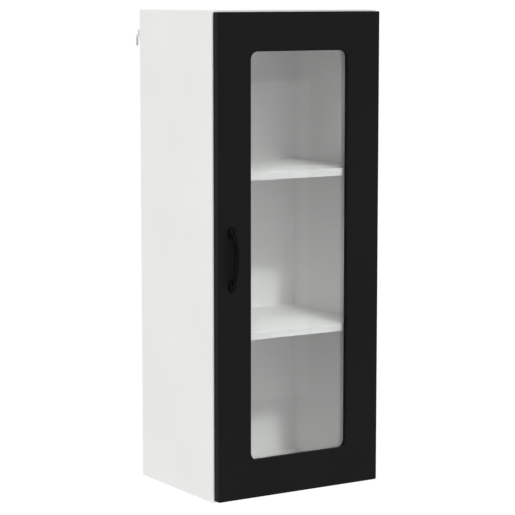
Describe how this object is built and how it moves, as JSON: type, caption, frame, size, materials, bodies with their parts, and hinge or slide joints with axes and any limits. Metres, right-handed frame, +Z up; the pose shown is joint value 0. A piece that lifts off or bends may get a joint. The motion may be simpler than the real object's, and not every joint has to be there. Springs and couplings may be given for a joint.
{
  "type": "hanging wall cabinet",
  "caption": "Narrow hanging wall cabinet: white board carcass with shelves behind a black framed glass door with a bow handle on concealed hinges.",
  "frame": {"origin": "centre of the cabinet's flat back face", "axes": "+X to the viewer's right when facing the door, +Y from the door towards the wall, +Z up"},
  "size_m": [0.4, 0.3515, 1],
  "materials": {
    "white_board": "white melamine-faced board, satin, fine emboss",
    "black_frame": "black lacquered board, satin",
    "clear_glass": "clear float glass",
    "black_bead": "matt soft bead",
    "black_metal": "black powder coat, satin",
    "steel": "nickel plated steel",
    "zinc": "die-cast zinc, satin",
    "white_plastic": "moulded plastic, satin",
    "clear_plastic": "soft translucent pad"
  },
  "bodies": {
    "carcass": {"back_panel": "white_board", "bottom_panel": "white_board", "cam_bolt_bottom_left_front": "steel", "cam_bolt_bottom_left_rear": "steel", "cam_bolt_bottom_right_front": "steel", "cam_bolt_bottom_right_rear": "steel", "cam_bolt_top_left_front": "steel", "cam_bolt_top_left_rear": "steel", "cam_bolt_top_right_front": "steel", "cam_bolt_top_right_rear": "steel", "cam_lock_bottom_left_front": "zinc", "cam_lock_bottom_left_rear": "zinc", "cam_lock_bottom_right_front": "zinc", "cam_lock_bottom_right_rear": "zinc", "cam_lock_top_left_front": "zinc", "cam_lock_top_left_rear": "zinc", "cam_lock_top_right_front": "zinc", "cam_lock_top_right_rear": "zinc", "hanger_casing_left": "white_plastic", "hanger_casing_right": "white_plastic", "hinge_arm_lower": "steel", "hinge_arm_upper": "steel", "hinge_plate_lower": "zinc", "hinge_plate_upper": "zinc", "plate_screw_lower_high": "steel", "plate_screw_lower_low": "steel", "plate_screw_upper_high": "steel", "plate_screw_upper_low": "steel", "shelf_lower": "white_board", "shelf_pin_lower_left_front": "steel", "shelf_pin_lower_left_rear": "steel", "shelf_pin_lower_right_front": "steel", "shelf_pin_lower_right_rear": "steel", "shelf_pin_upper_left_front": "steel", "shelf_pin_upper_left_rear": "steel", "shelf_pin_upper_right_front": "steel", "shelf_pin_upper_right_rear": "steel", "shelf_upper": "white_board", "side_panel_left": "white_board", "side_panel_right": "white_board", "top_panel": "white_board"},
    "door": {"door_bumper_lower": "clear_plastic", "door_bumper_upper": "clear_plastic", "door_panel": "black_frame", "glass_bead": "black_bead", "glass_pane": "clear_glass", "handle": "black_metal", "handle_screw_lower": "steel", "handle_screw_upper": "steel", "hinge_cup_lower": "steel", "hinge_cup_upper": "steel"},
    "outer_links": {"hinge_outer_link_lower": "steel", "hinge_outer_link_upper": "steel"},
    "inner_links": {"hinge_inner_link_lower": "steel", "hinge_inner_link_upper": "steel"},
    "hook_left": {"hanger_hook_left": "steel"},
    "hook_right": {"hanger_hook_right": "steel"},
    "screw_left": {"hanger_screw_left": "steel"},
    "screw_right": {"hanger_screw_right": "steel"}
  },
  "joints": [
    {"name": "door_swing", "type": "hinge", "parent": "carcass", "child": "door", "pos_m": [0.1915, -0.304, 0], "axis": [0, 0, 1], "range_deg": [0, 95]},
    {"name": "outer_link_turn", "type": "hinge", "parent": "carcass", "child": "outer_links", "pos_m": [0.1786, -0.2965, 0], "axis": [0, 0, 1], "range_deg": [0, 91]},
    {"name": "inner_link_turn", "type": "hinge", "parent": "carcass", "child": "inner_links", "pos_m": [0.1786, -0.2965, 0], "axis": [0, 0, 1], "range_deg": [0, 91]},
    {"name": "hook_left_lift", "type": "slide", "parent": "carcass", "child": "hook_left", "axis": [0, 0, 1], "range_m": [-0.007, 0.007]},
    {"name": "hook_right_lift", "type": "slide", "parent": "carcass", "child": "hook_right", "axis": [0, 0, 1], "range_m": [-0.007, 0.007]},
    {"name": "screw_left_turn", "type": "hinge", "parent": "carcass", "child": "screw_left", "pos_m": [-0.1755, -0.055, 0.441], "axis": [0, 1, 0], "range_deg": [-180, 180]},
    {"name": "screw_right_turn", "type": "hinge", "parent": "carcass", "child": "screw_right", "pos_m": [0.1755, -0.055, 0.441], "axis": [0, 1, 0], "range_deg": [-180, 180]}
  ],
  "couplings": [
    {"joint": "outer_link_turn", "follows": "door_swing", "ratio": 0.88},
    {"joint": "inner_link_turn", "follows": "door_swing", "ratio": 0.84},
    {"joint": "screw_left_turn", "follows": "hook_left_lift", "rad_per_m": 440},
    {"joint": "screw_right_turn", "follows": "hook_right_lift", "rad_per_m": 440}
  ]
}
